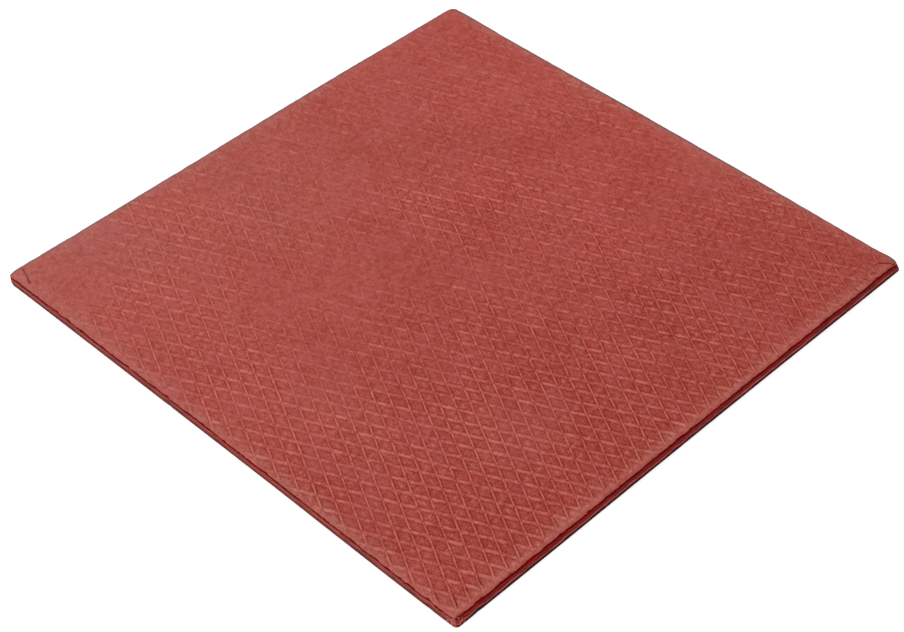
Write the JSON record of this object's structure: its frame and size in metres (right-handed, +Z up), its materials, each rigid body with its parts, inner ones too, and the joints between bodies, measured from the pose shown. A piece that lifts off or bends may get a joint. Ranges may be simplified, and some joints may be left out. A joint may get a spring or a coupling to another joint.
{
  "type": "thermal pad sheet",
  "caption": "Flat square sheet of filled silicone with rounded corners and a diamond-embossed face, cut to size and laid between a hot component and its heatsink.",
  "frame": {"origin": "centre of the sheet's footprint, on its underside", "axes": "+Z up through the thickness, +X and +Y along the two sides, embossed face up"},
  "size_m": [0.1, 0.1004, 0.002],
  "materials": {
    "filled_silicone": "soft satin, red-brown, diamond-embossed on top"
  },
  "bodies": {
    "root": {"thermal_pad": "filled_silicone"}
  },
  "joints": []
}
